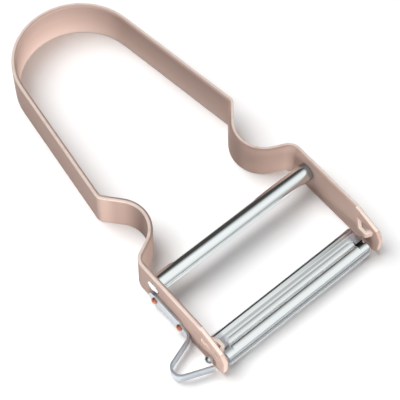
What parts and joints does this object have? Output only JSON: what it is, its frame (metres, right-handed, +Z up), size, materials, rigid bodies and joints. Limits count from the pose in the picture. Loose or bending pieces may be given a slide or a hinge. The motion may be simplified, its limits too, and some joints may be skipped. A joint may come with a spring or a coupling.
{
  "type": "vegetable peeler",
  "caption": "Vegetable peeler with a bent metal strap handle, a cross bar, a swivelling slotted blade between its legs and a looped eye remover riveted to one leg.",
  "frame": {"origin": "under the middle of the part's box, on the surface that the strap's lower edges rest on", "axes": "+X along the blade towards the leg without the eye remover, +Y from the blade to the handle's loop, +Z up across the strip's width, towards the blade's cutting side"},
  "size_m": [0.067, 0.1112, 0.0127],
  "materials": {
    "rose_strap": "satin rose-tinted strip with bright cut edges",
    "polished_bar": "polished",
    "blade_steel": "bright rolled steel with a ground edge",
    "pin_steel": "polished",
    "remover_steel": "bright spring strip",
    "copper": "bright copper"
  },
  "bodies": {
    "frame": {"handle_strap": "rose_strap", "cross_bar": "polished_bar", "eye_remover": "remover_steel", "rear_rivet": "copper", "front_rivet": "copper"},
    "blade": {"peeling_blade": "blade_steel", "left_pivot_pin": "pin_steel", "right_pivot_pin": "pin_steel"}
  },
  "joints": [
    {"name": "blade_swivel", "type": "hinge", "parent": "frame", "child": "blade", "pos_m": [0.0042, -0.05065, 0.0037], "axis": [1, 0, 0], "range_deg": [-25, 25]}
  ]
}
